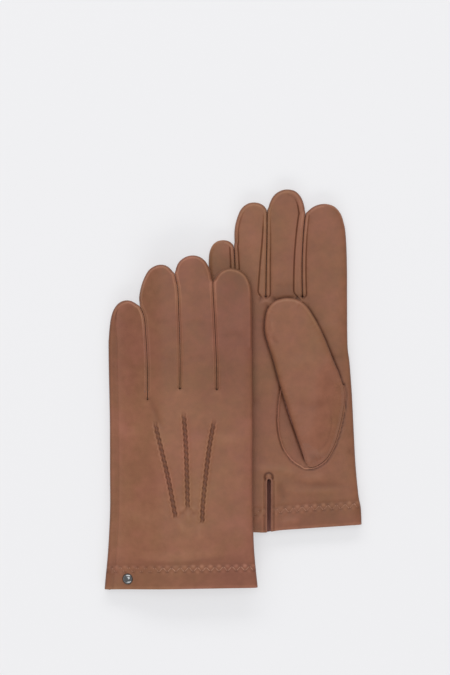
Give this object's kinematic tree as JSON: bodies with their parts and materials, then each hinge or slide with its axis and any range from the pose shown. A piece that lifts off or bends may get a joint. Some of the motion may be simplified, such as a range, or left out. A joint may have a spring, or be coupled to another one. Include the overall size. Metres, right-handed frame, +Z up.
{
  "type": "pair of leather gloves",
  "caption": "Pair of lined leather dress gloves laid flat, the right palm up under the left, with fourchettes, inset thumbs, raised points, bound wrist vents and a cuff stud.",
  "frame": {"origin": "centre of the pair's plan box, on the surface that the pair lies on", "axes": "+Z up out of that surface, +Y from the cuffs to the fingertips, +X from the left glove to the right glove"},
  "size_m": [0.1928, 0.2986, 0.0218],
  "materials": {
    "leather": "soft satin nappa",
    "lining": "fine knit",
    "thread": "twisted thread",
    "metal": "polished"
  },
  "bodies": {
    "right_hand": {"right_hand_back": "leather", "right_hand_palm": "leather", "right_hand_lining": "lining", "right_vent_binding": "leather", "right_point_ring": "thread", "right_point_middle": "thread", "right_point_index": "thread", "right_hem_stitching": "thread"},
    "right_little": {"right_little_back": "leather", "right_little_palm": "leather", "right_little_fourchette_radial": "leather", "right_little_lining": "lining"},
    "right_ring": {"right_ring_back": "leather", "right_ring_palm": "leather", "right_ring_fourchette_ulnar": "leather", "right_ring_fourchette_radial": "leather", "right_ring_lining": "lining"},
    "right_middle": {"right_middle_back": "leather", "right_middle_palm": "leather", "right_middle_fourchette_ulnar": "leather", "right_middle_fourchette_radial": "leather", "right_middle_lining": "lining"},
    "right_index": {"right_index_back": "leather", "right_index_palm": "leather", "right_index_fourchette_ulnar": "leather", "right_index_lining": "lining"},
    "right_thumb": {"right_thumb": "leather", "right_thumb_lining": "lining"},
    "left_hand": {"left_hand_back": "leather", "left_hand_palm": "leather", "left_hand_lining": "lining", "left_vent_binding": "leather", "left_point_ring": "thread", "left_point_middle": "thread", "left_point_index": "thread", "left_hem_stitching": "thread", "left_stud_cap": "metal", "left_stud_washer": "metal"},
    "left_little": {"left_little_back": "leather", "left_little_palm": "leather", "left_little_fourchette_radial": "leather", "left_little_lining": "lining"},
    "left_ring": {"left_ring_back": "leather", "left_ring_palm": "leather", "left_ring_fourchette_ulnar": "leather", "left_ring_fourchette_radial": "leather", "left_ring_lining": "lining"},
    "left_middle": {"left_middle_back": "leather", "left_middle_palm": "leather", "left_middle_fourchette_ulnar": "leather", "left_middle_fourchette_radial": "leather", "left_middle_lining": "lining"},
    "left_index": {"left_index_back": "leather", "left_index_palm": "leather", "left_index_fourchette_ulnar": "leather", "left_index_lining": "lining"},
    "left_thumb": {"left_thumb": "leather", "left_thumb_lining": "lining"}
  },
  "joints": [
    {"name": "left_glove_lift", "type": "slide", "parent": "right_hand", "child": "left_hand", "axis": [0, 0, 1], "range_m": [0, 0.15]},
    {"name": "right_little_flex", "type": "hinge", "parent": "right_hand", "child": "right_little", "pos_m": [-0.0077, 0.07042, 0.0083], "axis": [1, 0, 0], "range_deg": [0, 5]},
    {"name": "right_ring_flex", "type": "hinge", "parent": "right_hand", "child": "right_ring", "pos_m": [0.01385, 0.07042, 0.0083], "axis": [1, 0, 0], "range_deg": [0, 8]},
    {"name": "right_middle_flex", "type": "hinge", "parent": "right_hand", "child": "right_middle", "pos_m": [0.0391, 0.07042, 0.0083], "axis": [1, 0, 0], "range_deg": [0, 80]},
    {"name": "right_index_flex", "type": "hinge", "parent": "right_hand", "child": "right_index", "pos_m": [0.06965, 0.07042, 0.0083], "axis": [1, 0, 0], "range_deg": [0, 80]},
    {"name": "left_little_bend_back", "type": "hinge", "parent": "left_hand", "child": "left_little", "pos_m": [-0.07815, 0.01702, 0.0173], "axis": [1, 0, 0], "range_deg": [0, 60]},
    {"name": "left_ring_bend_back", "type": "hinge", "parent": "left_hand", "child": "left_ring", "pos_m": [-0.0507, 0.01702, 0.0212], "axis": [1, 0, 0], "range_deg": [0, 60]},
    {"name": "left_middle_bend_back", "type": "hinge", "parent": "left_hand", "child": "left_middle", "pos_m": [-0.02545, 0.01702, 0.0212], "axis": [1, 0, 0], "range_deg": [0, 60]},
    {"name": "left_index_bend_back", "type": "hinge", "parent": "left_hand", "child": "left_index", "pos_m": [0.00165, 0.01702, 0.0212], "axis": [1, 0, 0], "range_deg": [0, 60]},
    {"name": "right_thumb_open", "type": "hinge", "parent": "right_hand", "child": "right_thumb", "pos_m": [0.0784, -0.04458, 0.0083], "axis": [0.4516, 0.8922, 0], "range_deg": [0, 90]},
    {"name": "left_thumb_swing", "type": "hinge", "parent": "left_hand", "child": "left_thumb", "pos_m": [0.0079, -0.09078, 0.0106], "axis": [0, 0, -1], "range_deg": [0, 22]}
  ]
}
